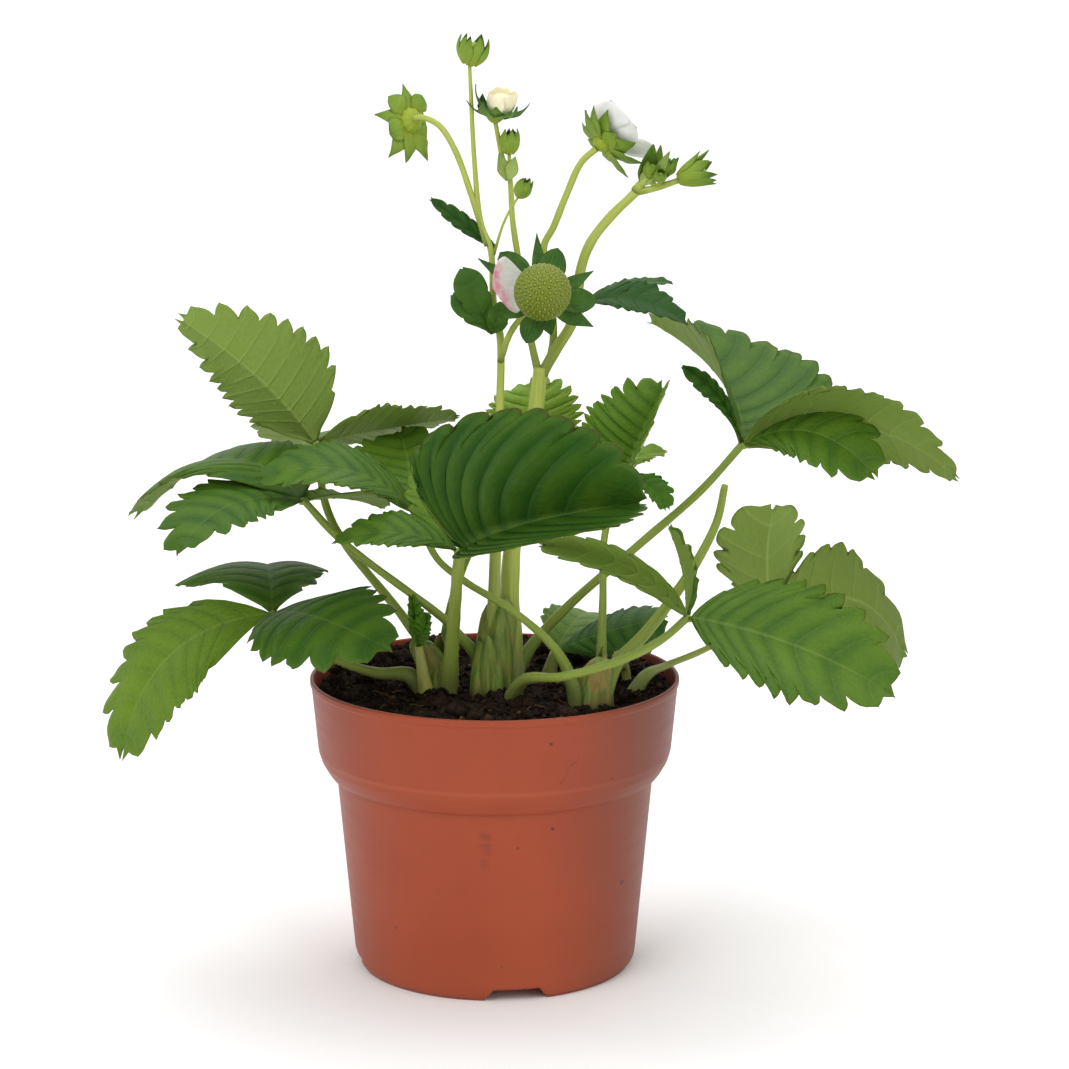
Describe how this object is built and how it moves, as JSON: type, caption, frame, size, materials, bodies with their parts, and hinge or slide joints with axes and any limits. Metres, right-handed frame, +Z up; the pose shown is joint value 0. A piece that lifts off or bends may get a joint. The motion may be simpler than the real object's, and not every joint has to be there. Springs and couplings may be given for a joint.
{
  "type": "potted strawberry plant",
  "caption": "Young strawberry plant in a nursery pot: toothed three-part leaves on arching stalks, tall flower stems with buds, an open flower and an unripe fruit.",
  "frame": {"origin": "centre of the pot's foot, on the surface it stands on", "axes": "+Z up along the pot's axis; -Y towards the side the picture shows; +X to the right seen from there"},
  "size_m": [0.2721, 0.1867, 0.3058],
  "materials": {
    "pot_plastic": "thin moulded plastic, terracotta colour, satin outside",
    "potting_soil": "dark crumbly peat mix, matt",
    "crown": "fibrous tan stump with brown stipules",
    "petiole": "green stalk with fine pale hairs",
    "leaf": "mid green above with sunken veins, paler below",
    "young_leaf": "light fresh green, pleated",
    "bract_leaf": "dark green, toothed",
    "flower_stem": "pale yellow-green, hairy",
    "sepal": "green, slightly hairy",
    "petal": "soft white with a pink edge",
    "cream_petal": "cream",
    "flower_centre": "yellow",
    "green_fruit": "unripe olive green with yellow achenes"
  },
  "bodies": {
    "root": {"bract_leaf_left": "bract_leaf", "bract_leaf_right": "bract_leaf", "bract_leaf_upper": "bract_leaf", "calyx_cluster_bud": "sepal", "calyx_cream_bud": "sepal", "calyx_fruit": "sepal", "calyx_nodding": "sepal", "calyx_open_flower": "sepal", "calyx_right_bud": "sepal", "calyx_second_bud": "sepal", "calyx_small_bud": "sepal", "calyx_top_bud": "sepal", "crown_left": "crown", "crown_middle": "crown", "crown_right": "crown", "curled_shoot": "young_leaf", "flower_centre": "flower_centre", "flower_stem_left": "flower_stem", "flower_stem_right": "flower_stem", "fruit": "green_fruit", "leaflets_far_right": "leaf", "leaflets_front": "leaf", "leaflets_low_back": "leaf", "leaflets_low_left": "leaf", "leaflets_low_right": "leaf", "leaflets_mid_front": "leaf", "leaflets_mid_left": "leaf", "leaflets_upper_left": "leaf", "leaflets_upper_right": "leaf", "leaflets_young_back": "young_leaf", "leaflets_young_right": "young_leaf", "petal_fruit": "petal", "petals_cream_bud": "cream_petal", "petals_open_flower": "petal", "petiole_cut": "petiole", "petiole_far_right": "petiole", "petiole_front": "petiole", "petiole_low_back": "petiole", "petiole_low_left": "petiole", "petiole_low_right": "petiole", "petiole_mid_front": "petiole", "petiole_mid_left": "petiole", "petiole_upper_left": "petiole", "petiole_upper_right": "petiole", "petiole_young_back": "petiole", "petiole_young_right": "petiole", "pot": "pot_plastic", "soil": "potting_soil", "young_leaf": "young_leaf"}
  },
  "joints": []
}
